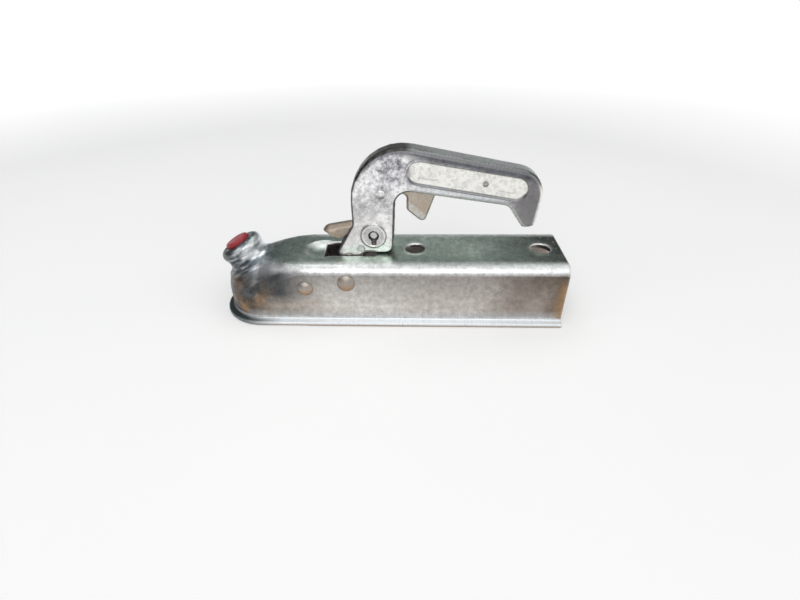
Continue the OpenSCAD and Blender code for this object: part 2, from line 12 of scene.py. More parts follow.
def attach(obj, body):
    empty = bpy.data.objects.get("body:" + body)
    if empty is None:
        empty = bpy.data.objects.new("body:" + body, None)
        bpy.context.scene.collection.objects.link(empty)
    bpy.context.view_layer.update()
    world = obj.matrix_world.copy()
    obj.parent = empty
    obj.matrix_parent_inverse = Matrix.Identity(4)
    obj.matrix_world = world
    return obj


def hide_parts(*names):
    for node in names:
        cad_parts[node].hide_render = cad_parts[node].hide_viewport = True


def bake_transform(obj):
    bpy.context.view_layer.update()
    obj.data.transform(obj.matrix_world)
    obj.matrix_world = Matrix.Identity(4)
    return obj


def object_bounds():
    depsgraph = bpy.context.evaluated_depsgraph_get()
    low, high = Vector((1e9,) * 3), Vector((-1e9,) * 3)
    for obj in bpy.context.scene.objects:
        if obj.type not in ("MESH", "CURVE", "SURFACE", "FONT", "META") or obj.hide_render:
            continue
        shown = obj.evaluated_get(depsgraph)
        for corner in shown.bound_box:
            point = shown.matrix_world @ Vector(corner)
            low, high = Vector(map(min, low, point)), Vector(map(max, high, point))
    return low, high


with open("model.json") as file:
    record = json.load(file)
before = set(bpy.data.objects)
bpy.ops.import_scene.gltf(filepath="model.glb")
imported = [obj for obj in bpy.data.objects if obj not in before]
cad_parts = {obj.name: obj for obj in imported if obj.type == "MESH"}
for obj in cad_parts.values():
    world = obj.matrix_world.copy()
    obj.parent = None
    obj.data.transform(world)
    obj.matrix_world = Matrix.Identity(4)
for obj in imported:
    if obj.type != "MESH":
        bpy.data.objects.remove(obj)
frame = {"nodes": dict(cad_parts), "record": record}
cad_low, cad_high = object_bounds()

MM = 0.001
SLOTS = {s["node"]: s["material_slot"] for s in frame["record"]["subparts"]}
BODY_OF = {n: b for b, members in frame["record"]["behaviour"]["bodies"].items() for n in members}

# The camera, fitted to the photograph: place in metres, angles in degrees, lens and sensor in millimetres
CAMERA_PLACE = Vector((0.1140, -0.2839, 0.1795))
CAMERA_YAW = 2.78
CAMERA_PITCH = 34.61
CAMERA_ROLL = -1.23
CAMERA_LENS = 19.71
CAMERA_SENSOR = 36.0
CAMERA_NEAR = 0.01

# The floor glows more the further away it is, until it meets the background
FLOOR_Z = cad_low.z - 0.00005
FLOOR_SIZE = 12.0
FLOOR_FADE = (0.6, 2.2)
FLOOR_GLOW = 0.15
BACKGROUND = (1.0, 1.0, 1.0)

# Brightness of the studio by the sine of the height above the horizon, on the far side and on the camera's side
STUDIO_FAR = [(0.0, (0.66, 0.66, 0.66)), (0.12, (0.50, 0.50, 0.49)), (0.30, (0.22, 0.24, 0.23)),
              (0.70, (0.20, 0.22, 0.21)), (0.88, (0.9, 0.9, 0.9))]
STUDIO_NEAR = [(0.0, (0.62, 0.60, 0.58)), (0.20, (0.40, 0.39, 0.38)), (0.42, (0.95, 0.96, 0.98)),
               (0.90, (1.0, 1.0, 1.0))]
NEAR_TO_FAR = (-0.15, 0.15)
STUDIO_LEFT = 0.38
LEFT_TO_RIGHT = (-0.85, -0.1)

# Each lamp's name, place, target, size, power in watts and colour
LAMPS = (("key", (0.05, -0.75, 0.80), (0.09, 0, 0.03), (0.9, 0.8), 3.2, (1.0, 1.0, 1.0)),
         ("left", (-0.9, -0.3, 0.7), (0.0, 0, 0.03), (0.25, 0.5), 0.5, (0.97, 0.98, 1.0)),
         ("right", (1.1, -0.2, 0.5), (0.15, 0, 0.03), (0.5, 0.6), 0.8, (1.0, 0.97, 0.94)),
         ("back", (-0.1, 0.45, 1.1), (0.1, 0, 0.05), (0.6, 0.3), 1.2, (1.0, 1.0, 1.0)))

# Where the body's plating changes tone and where painted light and shade lie on it, in metres; a pair is where a
# change starts and where it ends
BODY_X = (-0.030, 0.217)
WALL_SHADE_Z = (-0.002, 0.022)
FLANGE_TOP_Z = -0.0130
FLANGE_BLEND = 0.008
FLANGE_LINE = 0.0012
FLANGE_FOOT_Z = (-0.0156, -0.0148)
NOSE_TO_SIDE_X = (-0.012, 0.016)
SHOULDER_HIGHLIGHT_Y = (0.0180, 0.0230)
SHOULDER_HIGHLIGHT_X = (0.022, 0.040)
STUB_TILT = 27.0
STUB_X = (-0.002, 0.026)
STUB_HEIGHT = (0.010, 0.024)
RINGS_ROUND = 0.9
RINGS_ALONG = 210.0
SADDLE_SHADE_X = (0.017, 0.040)
SADDLE_SHADE_Z = (-0.002, 0.008)
STAIN_X = (-0.014, 0.018)
STAIN_Z = (0.0, 0.026)
NOSE_TIP_SHADE_X = (-0.026, -0.004)
REAR_EDGE_X = (0.209, 0.2165)
REAR_EDGE_Z = (0.012, 0.022)
INSIDE_SHADE_Y = (-0.012, -0.004)

# Where the handle's plating changes tone and where painted light and shade lie on it
LEG_FOOT_Z = (0.040, 0.084)
DARK_HOOK_X = (0.160, 0.182)
LEG_FRONT_X = 0.0689
GRIP_TOP_Z = 0.1104
GRIP_FALL = math.tan(math.radians(11.1))
UNDER_TOP_SHADE = (0.0035, 0.0075)
UNDER_TOP_SHADE_X = (0.082, 0.112)
LEG_REAR_X = 0.0993
GRIP_UNDER_Z = 0.0753
GRIP_UNDER_FALL = math.tan(math.radians(8.4))
GRIP_START_X = (0.104, 0.112)
GRIP_END_X = (0.168, 0.176)
LOWER_HIGHLIGHT_BAND = (0.0045, 0.0065)
LOWER_EDGE_SHADE = (0.0018, 0.0032)
RECESS_X = (0.106, 0.110)
RECESS_FLOOR_Y = 0.0082
TURNED_UP_SHADE_Z = (0.058, 0.072)
TOP_HIGHLIGHT_X = (0.090, 0.125)
PIN_FLOOR_Y = 0.0078
WALL_STEP = 0.0006
CHEEK_Y = 0.0090
SUNK_END_Y = (PIN_FLOOR_Y - 0.0006, PIN_FLOOR_Y - 0.0002)
FLUSH_END_Y = (CHEEK_Y - 0.0006, CHEEK_Y - 0.0003)
PIN_FACE_R = (0.0019, 0.0027)
BOSS_R = (0.0066, 0.0074)
BOSS_LINE_R = ((0.0080, 0.0085), (0.0089, 0.0095))

# The handle's own rivets are above the body's. The trigger is paler past a ridge through a point [x, z]: a painted
# highlight.
HANDLE_RIVETS_Z = (0.045, 0.050)
TRIGGER_RIDGE = (0.1085, 0.0665)
TRIGGER_RIDGE_FALL = 0.83
TRIGGER_RIDGE_WIDTH = (-0.0006, 0.0006)
TRIGGER_X = (0.100, 0.104)

# The raised rim round the handle's pin and the lip round its recess, as centre points [x, z] and radii
PIN_PLACE = (0.0832, 0.0435)
PIN_RIM_R = 0.0078
RECESS_ENDS = ((0.1143, 0.0873), (0.1775, 0.0764))
LIP_R = 0.0083
ARC_STEPS = 16
BEAD_SIDES = 8

# How the pressed pieces are made from their solids, and where the drawn forms are smoothed further
MOST_TRIANGLES = 190_000
PRESSING_WELD = 0.00002
NODE_WELD = 0.00001
BROKEN_EDGE = 0.25 * MM
BROKEN_ANGLE = 40
SHOULDER_REAR = 0.034
HOOK_X = 0.180
SOFT_HALF = 0.0068
SOFT_Z = 0.050

# Colours. A list runs from one end of a surface, or of a texture, to the other.
RUST = (0.42, 0.25, 0.12)
BODY = SimpleNamespace(
    wall=[(0.0, (0.07, 0.056, 0.042)), (0.11, (0.13, 0.108, 0.085)), (0.24, (0.46, 0.415, 0.37)),
          (0.40, (0.70, 0.67, 0.64)), (0.74, (0.56, 0.52, 0.485)), (0.97, (0.20, 0.155, 0.12))],
    top=[(0.0, (0.20, 0.23, 0.24)), (0.20, (0.36, 0.42, 0.39)), (0.45, (0.62, 0.73, 0.65)),
         (0.74, (0.63, 0.73, 0.66)), (0.98, (0.10, 0.108, 0.098))],
    turned=[(0.34, (0.03, 0.045, 0.06)), (0.46, (0.12, 0.15, 0.175)), (0.56, (0.34, 0.38, 0.41)),
            (0.66, (0.95, 0.97, 1.0))],
    low_wall=(0.62, 0.64, 0.66), bend=(0.84, 0.85, 0.85), shoulder_highlight=(0.80, 0.83, 0.82), saddle_shade=(0.045, 0.055, 0.065),
    lit_stub=(0.90, 0.93, 0.96), stain=(0.46, 0.26, 0.11), nose_tip_shade=(0.04, 0.035, 0.03), specks=(0.80, 0.84, 0.80),
    flange_nose=(0.10, 0.13, 0.14), flange_side=(0.86, 0.91, 0.95), flange_foot=(0.40, 0.30, 0.21),
    sole=(0.72, 0.73, 0.72), inside=(0.44, 0.40, 0.37), dark=(0.22, 0.21, 0.20))
HANDLE = SimpleNamespace(
    blotches=[(0.41, (0.12, 0.115, 0.13)), (0.475, (0.40, 0.395, 0.43)), (0.52, (0.66, 0.65, 0.68)),
              (0.58, (0.98, 0.97, 0.97))],
    foot=(0.97, 0.955, 0.93), hook=(0.15, 0.145, 0.15), under_top_shade=(0.065, 0.07, 0.08), lower_highlight_band=(0.80, 0.82, 0.84),
    lower_edge_shade=(0.10, 0.10, 0.11), cream=(0.97, 0.96, 0.91), dull_cream=(0.70, 0.69, 0.66),
    turned_up_shade=(0.09, 0.095, 0.105), top=(0.84, 0.86, 0.87), underside_shade=(0.26, 0.25, 0.25), boss=(0.34, 0.33, 0.32),
    boss_line=(0.12, 0.115, 0.11), keyhole_shade=(0.04, 0.035, 0.03), dark=(0.24, 0.23, 0.24))
RIVET_DOME = (0.95, 0.95, 0.96)
RIVET_RIM_SHADE = (0.13, 0.125, 0.12)
TRIGGER_FLANK_HIGHLIGHT = (0.62, 0.605, 0.575)
WORN_EDGE_AND_GLINT = (0.80, 0.80, 0.79)
SUNK_SHADE = (0.03, 0.028, 0.025)
PIN_FACE = (0.66, 0.65, 0.63)
FLUSH_END = (0.62, 0.61, 0.60)
FLOOR_COLORS = ((0.84, 0.84, 0.84), (0.86, 0.86, 0.855))


def mix_socket(sockets, name, kind):
    """A Mix node has a socket of each name for every kind of data."""
    return next(s for s in sockets if s.name == name and s.type == kind)


class Tree:
    """A node tree, with short calls for the nodes that the materials and the studio share."""

    def __init__(self, tree):
        self.tree = tree

    def add(self, kind, **values):
        node = self.tree.nodes.new(kind)
        for key, value in values.items():
            setattr(node, key, value)
        return node

    def link(self, source, target):
        self.tree.links.new(source, target)

    def put(self, value, socket):
        """A number, a colour or another node's output goes into a socket."""
        if isinstance(value, (float, int)):
            socket.default_value = value
        elif isinstance(value, tuple):
            socket.default_value = (*value, 1.0)
        else:
            self.link(value, socket)

    def parts(self, vector):
        node = self.add("ShaderNodeSeparateXYZ")
        self.link(vector, node.inputs["Vector"])
        return node.outputs["X"], node.outputs["Y"], node.outputs["Z"]

    def ramp(self, source, stops):
        node = self.add("ShaderNodeValToRGB")
        marks = node.color_ramp.elements
        while len(marks) < len(stops):
            marks.new(0.5)
        for mark, (at, color) in zip(marks, stops):
            mark.position = at
            mark.color = (*color, 1.0)
        self.link(source, node.inputs["Fac"])
        return node.outputs["Color"]

    def remap(self, source, low, high, span=(0.3, 0.7)):
        """Goes from low to high while the source crosses the span, which by default suits a noise."""
        node = self.add("ShaderNodeMapRange")
        for key, value in zip(("From Min", "From Max", "To Min", "To Max"), (*span, low, high)):
            node.inputs[key].default_value = value
        self.link(source, node.inputs["Value"])
        return node.outputs["Result"]

    def rise(self, source, span, most=1.0):
        return self.remap(source, 0.0, most, span)

    def fall(self, source, span, most=1.0):
        return self.remap(source, most, 0.0, span)

    def other(self, share):
        """What a share leaves of 1."""
        return self.fall(share, (0.0, 1.0))

    def blend(self, share, first, second, mode="MIX"):
        node = self.add("ShaderNodeMix", data_type="RGBA", blend_type=mode)
        self.put(share, mix_socket(node.inputs, "Factor", "VALUE"))
        self.put(first, mix_socket(node.inputs, "A", "RGBA"))
        self.put(second, mix_socket(node.inputs, "B", "RGBA"))
        return mix_socket(node.outputs, "Result", "RGBA")

    def maths(self, operation, first, second=0.0):
        node = self.add("ShaderNodeMath", operation=operation)
        self.put(first, node.inputs[0])
        self.put(second, node.inputs[1])
        return node.outputs["Value"]

    def times(self, first, second):
        return self.maths("MULTIPLY", first, second)


class Material(Tree):
    """A material's nodes, with its textures laid by the object's own coordinates."""

    def __init__(self, name):
        self.material = bpy.data.materials.new(name)
        self.material.use_nodes = True
        super().__init__(self.material.node_tree)
        self.shader = self.tree.nodes["Principled BSDF"]
        coord = self.add("ShaderNodeTexCoord")
        self.place = coord.outputs["Object"]
        self.facing = coord.outputs["Normal"]

    def scaled(self, scale):
        node = self.add("ShaderNodeMapping")
        node.inputs["Scale"].default_value = scale
        self.link(self.place, node.inputs["Vector"])
        return node.outputs["Vector"]

    def noise(self, scale, detail, rough=0.5, at=None, warp=0.0):
        node = self.add("ShaderNodeTexNoise")
        node.inputs["Scale"].default_value = scale
        node.inputs["Detail"].default_value = detail
        node.inputs["Roughness"].default_value = rough
        node.inputs["Distortion"].default_value = warp
        self.link(self.place if at is None else at, node.inputs["Vector"])
        return node.outputs["Fac"]

    def cells(self, scale):
        node = self.add("ShaderNodeTexVoronoi")
        node.inputs["Scale"].default_value = scale
        self.link(self.place, node.inputs["Vector"])
        return node.outputs["Color"]

    def from_pin(self):
        """Distance from the handle's pin in the side view, in metres."""
        x, _, z = self.parts(self.place)
        squares = (self.maths("POWER", self.maths("SUBTRACT", place, middle), 2.0)
                   for place, middle in zip((x, z), PIN_PLACE))
        return self.maths("SQRT", self.maths("ADD", *squares))

    def bump(self, height, strength, distance, below=None):
        node = self.add("ShaderNodeBump")
        node.inputs["Strength"].default_value = strength
        node.inputs["Distance"].default_value = distance
        self.link(height, node.inputs["Height"])
        if below is not None:
            self.link(below, node.inputs["Normal"])
        return node.outputs["Normal"]

    def edges(self):
        """1 on convex edges of a dense mesh, 0 on flats and hollows."""
        return self.rise(self.add("ShaderNodeNewGeometry").outputs["Pointiness"], (0.51, 0.56))

    def finish(self, color, rough, normal=None, metal=1.0):
        self.link(color, self.shader.inputs["Base Color"])
        self.link(rough, self.shader.inputs["Roughness"])
        self.put(metal, self.shader.inputs["Metallic"])
        if normal is not None:
            self.link(normal, self.shader.inputs["Normal"])
        return self.material


def plating(n, color, dark, streak=0.0, grain=0.0, rough=(0.24, 0.42), metal=1.0, glint=0.5):
    """Zinc plating over a colour: drawn streaks, crystal grain, small pits, smoother patches, and edges made paler by
    wear and a painted glint.
    """
    lines = n.noise(1.0, 3, 0.6, at=n.scaled((700, 90, 22)))
    crystals = n.cells(520)
    pits = n.fall(n.noise(900, 2, 0.5), (0.26, 0.34))
    if streak:
        color = n.blend(n.fall(lines, (0.3, 0.62), streak), color, dark)
    if grain:
        color = n.blend(n.rise(crystals, (0.35, 0.8), grain), color, dark)
    color = n.blend(n.times(pits, 0.5), color, tuple(0.35 * c for c in dark))
    # Convex edges are paler: wear, and a painted glint
    color = n.blend(n.times(n.edges(), glint), color, WORN_EDGE_AND_GLINT)
    roughness = n.remap(n.noise(55, 5, 0.6), *rough)
    if streak:
        roughness = n.maths("ADD", roughness, n.remap(lines, 0.0, 0.08))
    normal = n.bump(lines, 0.05 + 0.25 * streak, 0.15 * MM)
    normal = n.bump(n.noise(110, 3, 0.5), 0.16, 0.6 * MM, normal)
    normal = n.bump(crystals, 0.04 + 0.25 * grain, 0.12 * MM, normal)
    return n.finish(color, roughness, normal, metal)


def rivet_shade(n, color):
    """The body's rivets are rusty where they face down; the handle's are bright, with painted shade on their lower
    rim.
    """
    up = n.parts(n.facing)[2]
    on_body = n.fall(n.parts(n.place)[2], HANDLE_RIVETS_Z)
    on_handle = n.other(on_body)
    color = n.blend(n.times(n.fall(up, (-0.35, 0.15), 0.8), on_body), color, RUST)
    color = n.blend(n.times(on_handle, 0.9), color, RIVET_DOME)
    # Painted shade on the lower rim of the handle's rivets
    return n.blend(n.times(n.fall(up, (-0.30, 0.12), 0.85), on_handle), color, RIVET_RIM_SHADE)


def trigger_shade(n, color):
    """The trigger is paler past its ridge: a painted highlight on that side."""
    x, _, z = n.parts(n.place)
    past = n.maths("ADD", n.maths("SUBTRACT", z, TRIGGER_RIDGE[1]),
                   n.times(n.maths("SUBTRACT", x, TRIGGER_RIDGE[0]), TRIGGER_RIDGE_FALL))
    # A painted highlight past the ridge
    flank_highlight = n.times(n.fall(past, TRIGGER_RIDGE_WIDTH), n.rise(x, TRIGGER_X, 0.85))
    return n.blend(flank_highlight, color, TRIGGER_FLANK_HIGHLIGHT)


def zinc(name, pale, dark, warm, grain, rough, shade=None):
    """Plating of a small piece: clouded, with warmer patches, and with a shade of its own where it has one."""
    n = Material(name)
    color = n.blend(n.rise(n.noise(38, 4, 0.55, warp=0.6), (0.35, 0.68)), dark, pale)
    color = n.blend(n.rise(n.noise(17, 2), (0.45, 0.7), 0.75), color, warm)
    if shade:
        color = shade(n, color)
    return plating(n, color, dark, grain=grain, rough=rough)


def stub_rings(n):
    """The colours of the turned rings round the tilted stub, and the height along its axis.

    The rings' texture is stretched round the axis and tight along it.
    """
    axis = n.add("ShaderNodeMapping")
    axis.inputs["Rotation"].default_value = (0.0, math.radians(STUB_TILT), 0.0)
    n.link(n.place, axis.inputs["Vector"])
    across, aside, height = n.parts(axis.outputs["Vector"])
    ring = n.add("ShaderNodeCombineXYZ")
    n.link(n.times(n.maths("ARCTAN2", aside, across), RINGS_ROUND), ring.inputs["X"])
    n.link(n.times(height, RINGS_ALONG), ring.inputs["Y"])
    return n.ramp(n.noise(1.3, 4.0, at=ring.outputs["Vector"]), BODY.turned), height


def body_zinc():
    """The pressed body: a greenish upper plate with painted reflection, a painted highlight on the bends, a bright
    flange, walls that darken to the rear, and a nose darkened by painted shade and brown stains.
    """
    n = Material("zinc_body")
    x, y, z = n.parts(n.place)
    x_facing, y_facing, up = n.parts(n.facing)
    wavy = n.maths("ADD", n.rise(x, BODY_X), n.remap(n.noise(24, 3, 0.6), -0.08, 0.08))
    wall = n.blend(1.0, n.ramp(wavy, BODY.wall), n.remap(z, 1.02, 0.60, WALL_SHADE_Z), "MULTIPLY")
    color = n.blend(n.fall(z, (FLANGE_TOP_Z, FLANGE_TOP_Z + FLANGE_BLEND), 0.75), wall, BODY.low_wall)
    # A painted highlight where faces turn up at the bends
    color = n.blend(n.rise(up, (0.10, 0.40), 0.9), color, BODY.bend)
    # The upper plate's greenish plating tone, with painted reflection that darkens it towards the front and the rear
    color = n.blend(n.rise(up, (0.84, 0.985)), color, n.ramp(wavy, BODY.top))
    # A painted reflection, pale on the sloping shoulders of the upper plate
    shoulder_highlight = n.times(n.rise(n.maths("ABSOLUTE", y), SHOULDER_HIGHLIGHT_Y), n.rise(x, SHOULDER_HIGHLIGHT_X))
    shoulder_highlight = n.times(shoulder_highlight, n.rise(up, (0.60, 0.85)))
    color = n.blend(shoulder_highlight, color, BODY.shoulder_highlight)

    # The stub with a painted highlight on its rear-facing side, painted dark reflection in the drawn hollow at its
    # foot, brown stains below it, painted shade at the nose tip, and rust at the rear edge
    turned, height = stub_rings(n)
    # Painted dark reflection in the hollow at the stub's foot
    saddle_shade = n.times(n.fall(x, SADDLE_SHADE_X), n.fall(up, (0.50, 0.85)))
    saddle_shade = n.times(saddle_shade, n.rise(z, SADDLE_SHADE_Z))
    color = n.blend(n.times(saddle_shade, 0.93), color, BODY.saddle_shade)
    stub = n.times(n.fall(x, STUB_X), n.rise(height, STUB_HEIGHT))
    color = n.blend(n.times(stub, 0.92), color, turned)
    color = n.blend(n.times(stub, n.rise(x_facing, (0.15, 0.55), 0.85)), color, BODY.lit_stub)
    stained = n.times(n.fall(x, STAIN_X), n.rise(n.noise(60, 4, 0.6), (0.42, 0.60)))
    stained = n.times(stained, n.fall(z, STAIN_Z))
    color = n.blend(n.times(stained, 0.8), color, BODY.stain)
    # Painted shade darkens the nose tip
    color = n.blend(n.fall(x, NOSE_TIP_SHADE_X, 0.6), color, BODY.nose_tip_shade)
    color = n.blend(n.times(n.rise(x, REAR_EDGE_X, 0.8), n.fall(z, REAR_EDGE_Z)), color, RUST)

    color = n.blend(1.0, color, n.remap(n.noise(240, 5, 0.7), 0.72, 1.24), "MULTIPLY")
    specks = n.times(n.rise(n.noise(420, 3, 0.6), (0.60, 0.68), 0.6), n.rise(up, (0.8, 0.98)))
    color = n.blend(specks, color, BODY.specks)

    # The flange with its foot and sole, and painted shade on the inside of the channel
    flange = n.fall(z, (FLANGE_TOP_Z, FLANGE_TOP_Z + FLANGE_LINE))
    flange_side = n.times(flange, n.rise(up, (-0.20, 0.05)))
    behind_nose = n.rise(x, NOSE_TO_SIDE_X)
    color = n.blend(flange, color, BODY.flange_nose)
    color = n.blend(n.times(flange_side, behind_nose), color, BODY.flange_side)
    foot = n.times(n.fall(z, FLANGE_FOOT_Z), behind_nose)
    color = n.blend(n.times(foot, 0.85), color, BODY.flange_foot)
    sole = n.times(flange, n.fall(up, (-0.9, -0.6)))
    color = n.blend(n.times(sole, n.remap(n.noise(70, 3, 0.6), 1.0, 0.6)), color, BODY.sole)
    # Painted shade on faces that look into the channel or down
    inside = n.maths("MAXIMUM", n.fall(n.times(y, y_facing), INSIDE_SHADE_Y), n.fall(up, (-0.9, -0.5)))
    inside = n.times(inside, n.other(flange))
    color = n.blend(n.times(inside, 0.55), color, BODY.inside)
    dull = n.maths("MAXIMUM", n.times(flange_side, n.times(behind_nose, 0.65)), n.times(shoulder_highlight, 0.6))
    return plating(n, color, BODY.dark, streak=0.12, metal=n.maths("SUBTRACT", 1.0, dull))


def handle_zinc():
    """The handle: strongly mottled plating, paler on the leg, a creamy recess, a dark hook, and painted shade and
    highlights along its round edges, with painted shade round the pin.
    """
    n = Material("zinc_handle")
    x, y, z = n.parts(n.place)
    up = n.parts(n.facing)[2]
    side = n.maths("ABSOLUTE", y)
    blotches = n.times(n.maths("ADD", n.noise(34, 3, 0.55), n.noise(300, 5, 0.8)), 0.5)
    color = n.ramp(blotches, HANDLE.blotches)
    foot = n.times(n.fall(z, LEG_FOOT_Z), n.remap(n.noise(140, 5, 0.7), 0.7, 1.0))
    color = n.blend(foot, color, HANDLE.foot)
    color = n.blend(n.rise(x, DARK_HOOK_X, 0.85), color, HANDLE.hook)

    # Painted shade and a painted highlight in bands that follow the grip's sloping top and underside
    below_top = n.maths("SUBTRACT", GRIP_TOP_Z + LEG_FRONT_X * GRIP_FALL, n.maths("ADD", z, n.times(x, GRIP_FALL)))
    # Painted shade in a band under the grip's round upper edge
    color = n.blend(n.times(n.fall(below_top, UNDER_TOP_SHADE, 0.85), n.rise(x, UNDER_TOP_SHADE_X)), color, HANDLE.under_top_shade)
    above_underside = n.maths("SUBTRACT", n.maths("ADD", z, n.times(x, GRIP_UNDER_FALL)),
                              GRIP_UNDER_Z + LEG_REAR_X * GRIP_UNDER_FALL)
    on_grip = n.times(n.rise(x, GRIP_START_X), n.fall(x, GRIP_END_X))
    # A painted highlight along the grip's rolled lower edge, and painted shade right at that edge
    color = n.blend(n.times(on_grip, n.fall(above_underside, LOWER_HIGHLIGHT_BAND, 0.8)), color, HANDLE.lower_highlight_band)
    color = n.blend(n.times(on_grip, n.fall(above_underside, LOWER_EDGE_SHADE, 0.85)), color, HANDLE.lower_edge_shade)

    behind_leg = n.rise(x, RECESS_X)
    recess = n.times(n.fall(side, (RECESS_FLOOR_Y, RECESS_FLOOR_Y + WALL_STEP)), behind_leg)
    cream = n.blend(n.rise(n.noise(60, 3, 0.6), (0.45, 0.7), 0.35), HANDLE.cream, HANDLE.dull_cream)
    color = n.blend(n.times(recess, n.fall(up, (0.5, 0.9), 0.9)), color, cream)
    # Painted shade on faces that tilt upward, high on the handle
    color = n.blend(n.times(n.rise(up, (0.12, 0.40), 0.85), n.rise(z, TURNED_UP_SHADE_Z)), color, HANDLE.turned_up_shade)
    # A painted highlight on the handle's upper faces, fading in along the grip
    color = n.blend(n.times(n.rise(up, (0.72, 0.97), 0.8), n.remap(x, 0.3, 1.0, TOP_HIGHLIGHT_X)), color, HANDLE.top)
    # Painted shade on faces that look down
    color = n.blend(n.fall(up, (-0.85, -0.35), 0.7), color, HANDLE.underside_shade)

    # The boss round the pin, the line round the boss, and painted shade in the keyhole
    from_pin = n.from_pin()
    color = n.blend(n.fall(from_pin, BOSS_R, 0.5), color, HANDLE.boss)
    line = n.times(n.rise(from_pin, BOSS_LINE_R[0], 0.7), n.fall(from_pin, BOSS_LINE_R[1]))
    color = n.blend(line, color, HANDLE.boss_line)
    # Painted shade where the leg's surface lies deeper than the pin's floor, as in the keyhole
    keyhole_shade = n.times(n.fall(side, (PIN_FLOOR_Y, PIN_FLOOR_Y + WALL_STEP)), n.other(behind_leg))
    color = n.blend(n.times(keyhole_shade, 0.9), color, HANDLE.keyhole_shade)
    return plating(n, color, HANDLE.dark, grain=0.25, rough=(0.24, 0.44), glint=0.08)


def flush_ends(n, color):
    """Ends in the handle's cheeks: painted shade where they are sunk, bright where they are flush, and a bright pin.
    """
    side = n.maths("ABSOLUTE", n.parts(n.place)[1])
    # Painted shade on the sunk ends
    color = n.blend(n.rise(side, SUNK_END_Y, 0.9), color, SUNK_SHADE)
    color = n.blend(n.times(n.fall(n.from_pin(), PIN_FACE_R), 0.9), color, PIN_FACE)
    return n.blend(n.rise(side, FLUSH_END_Y), color, FLUSH_END)


def oiled_steel(name, color_a, color_b, rough, shade=None):
    """Plain machined or wound metal, with tool marks one way and oily patches."""
    n = Material(name)
    marks = n.noise(1.0, 3, 0.6, at=n.scaled((60, 900, 60)))
    color = n.blend(n.remap(n.noise(70, 4, 0.6), 0.0, 1.0), color_a, color_b)
    color = n.blend(n.remap(marks, 0.0, 0.35), color, tuple(0.6 * c for c in color_a))
    if shade:
        color = shade(n, color)
    return n.finish(color, n.remap(n.noise(120, 4, 0.6), *rough), n.bump(marks, 0.2, 0.1 * MM))


def red_plastic(name):
    """Moulded red plug, a little dusty, with a faint moulded texture."""
    n = Material(name)
    color = n.blend(n.rise(n.noise(160, 4, 0.6), (0.4, 0.75), 0.5), (0.32, 0.016, 0.026), (0.42, 0.06, 0.07))
    color = n.blend(n.rise(n.noise(900, 2), (0.6, 0.75), 0.25), color, (0.50, 0.26, 0.25))
    return n.finish(color, n.remap(n.noise(240, 3), 0.32, 0.5), n.bump(n.noise(1400, 2), 0.12, 0.1 * MM), metal=0.0)


MATERIALS = {
    "zinc_body": body_zinc(),
    "zinc_handle": handle_zinc(),
    "zinc_rivet": zinc("zinc_rivet", (0.45, 0.43, 0.405), (0.30, 0.275, 0.25), (0.42, 0.35, 0.29), grain=0.5,
                       rough=(0.34, 0.52), shade=rivet_shade),
    "jaw_steel": zinc("jaw_steel", (0.72, 0.70, 0.67), (0.52, 0.50, 0.47), (0.64, 0.57, 0.50), grain=0.2,
                      rough=(0.18, 0.34)),
    "catch_steel": zinc("catch_steel", (0.54, 0.48, 0.41), (0.34, 0.28, 0.22), (0.50, 0.39, 0.28), grain=0.35,
                        rough=(0.34, 0.5), shade=trigger_shade),
    "cam_steel": oiled_steel("cam_steel", (0.20, 0.20, 0.205), (0.34, 0.34, 0.34), (0.25, 0.42), shade=flush_ends),
    "spring_steel": oiled_steel("spring_steel", (0.16, 0.15, 0.145), (0.25, 0.24, 0.23), (0.28, 0.45)),
    "bush_brass": oiled_steel("bush_brass", (0.62, 0.50, 0.26), (0.72, 0.62, 0.36), (0.22, 0.38)),
    "red_plug": red_plastic("red_plug"),
}


def set_material(obj, slot):
    obj.data.materials.clear()
    obj.data.materials.append(MATERIALS[slot])


def add_modifier(obj, kind, **values):
    modifier = obj.modifiers.new(kind.lower(), kind)
    for key, value in values.items():
        setattr(modifier, key, value)


def apply_modifiers(obj):
    """The object's evaluated mesh takes the place of its mesh and modifiers."""
    bpy.context.view_layer.update()
    graph = bpy.context.evaluated_depsgraph_get()
    mesh = bpy.data.meshes.new_from_object(obj.evaluated_get(graph))
    obj.modifiers.clear()
    obj.data = mesh


def shade_smooth(mesh):
    mesh.polygons.foreach_set("use_smooth", [True] * len(mesh.polygons))
    mesh.update()


def stadium(ends, radius):
    """A closed run of points [x, z] at one distance round the line between two ends; a circle if they are the same."""
    (x0, z0), (x1, z1) = ends
    lean = math.atan2(z1 - z0, x1 - x0)
    points = []
    for (x, z), start in (((x1, z1), lean - math.pi / 2), ((x0, z0), lean + math.pi / 2)):
        for i in range(ARC_STEPS + 1):
            a = start + math.pi * i / ARC_STEPS
            points.append((x + radius * math.cos(a), z + radius * math.sin(a)))
    return points


def bead(points, y, radius):
    """A closed round bead that follows points [x, z] at one distance from the middle plane."""
    verts, faces = [], []
    aside = Vector((0.0, 1.0, 0.0))
    for i, (x, z) in enumerate(points):
        after = (i + 1) % len(points)
        (x0, z0), (x1, z1) = points[i - 1], points[after]
        out = Vector((x1 - x0, 0.0, z1 - z0)).normalized().cross(aside)
        for k in range(BEAD_SIDES):
            a = 2 * math.pi * k / BEAD_SIDES
            beside = (k + 1) % BEAD_SIDES
            verts.append(Vector((x, y, z)) + radius * (math.cos(a) * out + math.sin(a) * aside))
            faces.append((i * BEAD_SIDES + k, i * BEAD_SIDES + beside,
                          after * BEAD_SIDES + beside, after * BEAD_SIDES + k))
    mesh = bpy.data.meshes.new("bead")
    mesh.from_pydata(verts, [], faces)
    return mesh


